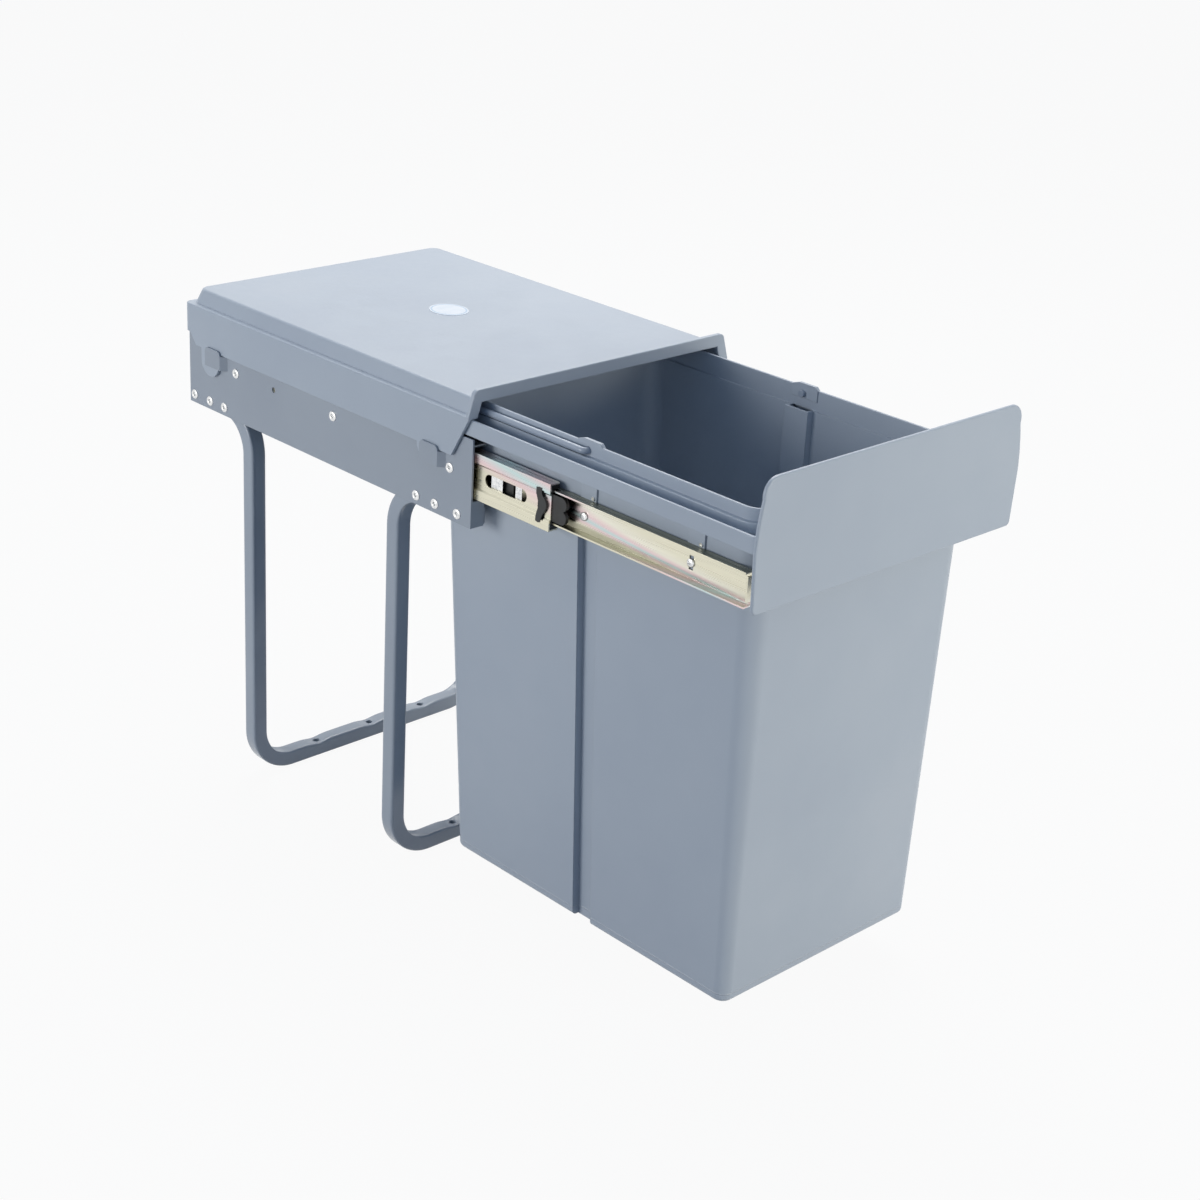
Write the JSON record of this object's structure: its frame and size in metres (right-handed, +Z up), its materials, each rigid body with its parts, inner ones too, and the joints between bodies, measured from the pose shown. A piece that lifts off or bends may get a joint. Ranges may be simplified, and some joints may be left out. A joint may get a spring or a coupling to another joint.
{
  "type": "pull-out waste bin",
  "caption": "Pull-out waste bin for a kitchen cabinet: a lift-out container in a ring on ball-bearing slides, under a fixed cover on bent tube legs.",
  "frame": {"origin": "on the floor, at the centre of the four outer floor bolt holes", "axes": "+X to the right as seen from the front panel, +Y to the back of the cabinet, +Z up; the drawer comes out along -Y"},
  "size_m": [0.2728, 0.6321, 0.4395],
  "materials": {
    "painted_steel": "satin powder coat",
    "painted_wire": "satin",
    "grey_plastic": "satin moulded",
    "zinc_steel": "yellow passivated zinc",
    "rivet_steel": "bright zinc",
    "ball_steel": "polished",
    "black_plastic": "matte",
    "badge_plastic": "gloss"
  },
  "bodies": {
    "frame": {"left_side_plate": "painted_steel", "right_side_plate": "painted_steel", "rear_leg": "painted_steel", "front_leg": "painted_steel", "leg_rivets": "rivet_steel", "rail_rivets": "rivet_steel", "left_outer_rail": "zinc_steel", "right_outer_rail": "zinc_steel", "rear_stops": "black_plastic", "cover": "grey_plastic", "cover_badge": "badge_plastic"},
    "outer_cages": {"left_outer_cage": "zinc_steel", "right_outer_cage": "zinc_steel", "left_outer_balls": "ball_steel", "right_outer_balls": "ball_steel"},
    "mid_rails": {"left_mid_rail": "zinc_steel", "right_mid_rail": "zinc_steel", "mid_rail_bumpers": "black_plastic"},
    "inner_cages": {"left_inner_cage": "zinc_steel", "right_inner_cage": "zinc_steel", "left_inner_balls": "ball_steel", "right_inner_balls": "ball_steel"},
    "drawer": {"left_inner_rail": "zinc_steel", "right_inner_rail": "zinc_steel", "release_latches": "black_plastic", "rail_screws": "rivet_steel", "pad_rivets": "rivet_steel", "carrier_ring": "grey_plastic", "front_panel": "grey_plastic", "panel_screws": "rivet_steel", "container": "grey_plastic"},
    "bail": {"bail": "painted_wire"}
  },
  "joints": [
    {"name": "mid_slide", "type": "slide", "parent": "frame", "child": "mid_rails", "axis": [0, -1, 0], "range_m": [-0.0795, 0.0955]},
    {"name": "outer_cage_slide", "type": "slide", "parent": "frame", "child": "outer_cages", "axis": [0, -1, 0], "range_m": [-0.03975, 0.04775]},
    {"name": "drawer_slide", "type": "slide", "parent": "mid_rails", "child": "drawer", "axis": [0, -1, 0], "range_m": [-0.18, 0]},
    {"name": "inner_cage_slide", "type": "slide", "parent": "mid_rails", "child": "inner_cages", "axis": [0, -1, 0], "range_m": [-0.09, 0]},
    {"name": "bail_hinge", "type": "hinge", "parent": "drawer", "child": "bail", "pos_m": [0, -0.281, 0.4015], "axis": [1, 0, 0], "range_deg": [0, 2]}
  ],
  "couplings": [
    {"joint": "outer_cage_slide", "follows": "mid_slide", "ratio": 0.5},
    {"joint": "inner_cage_slide", "follows": "drawer_slide", "ratio": 0.5}
  ]
}
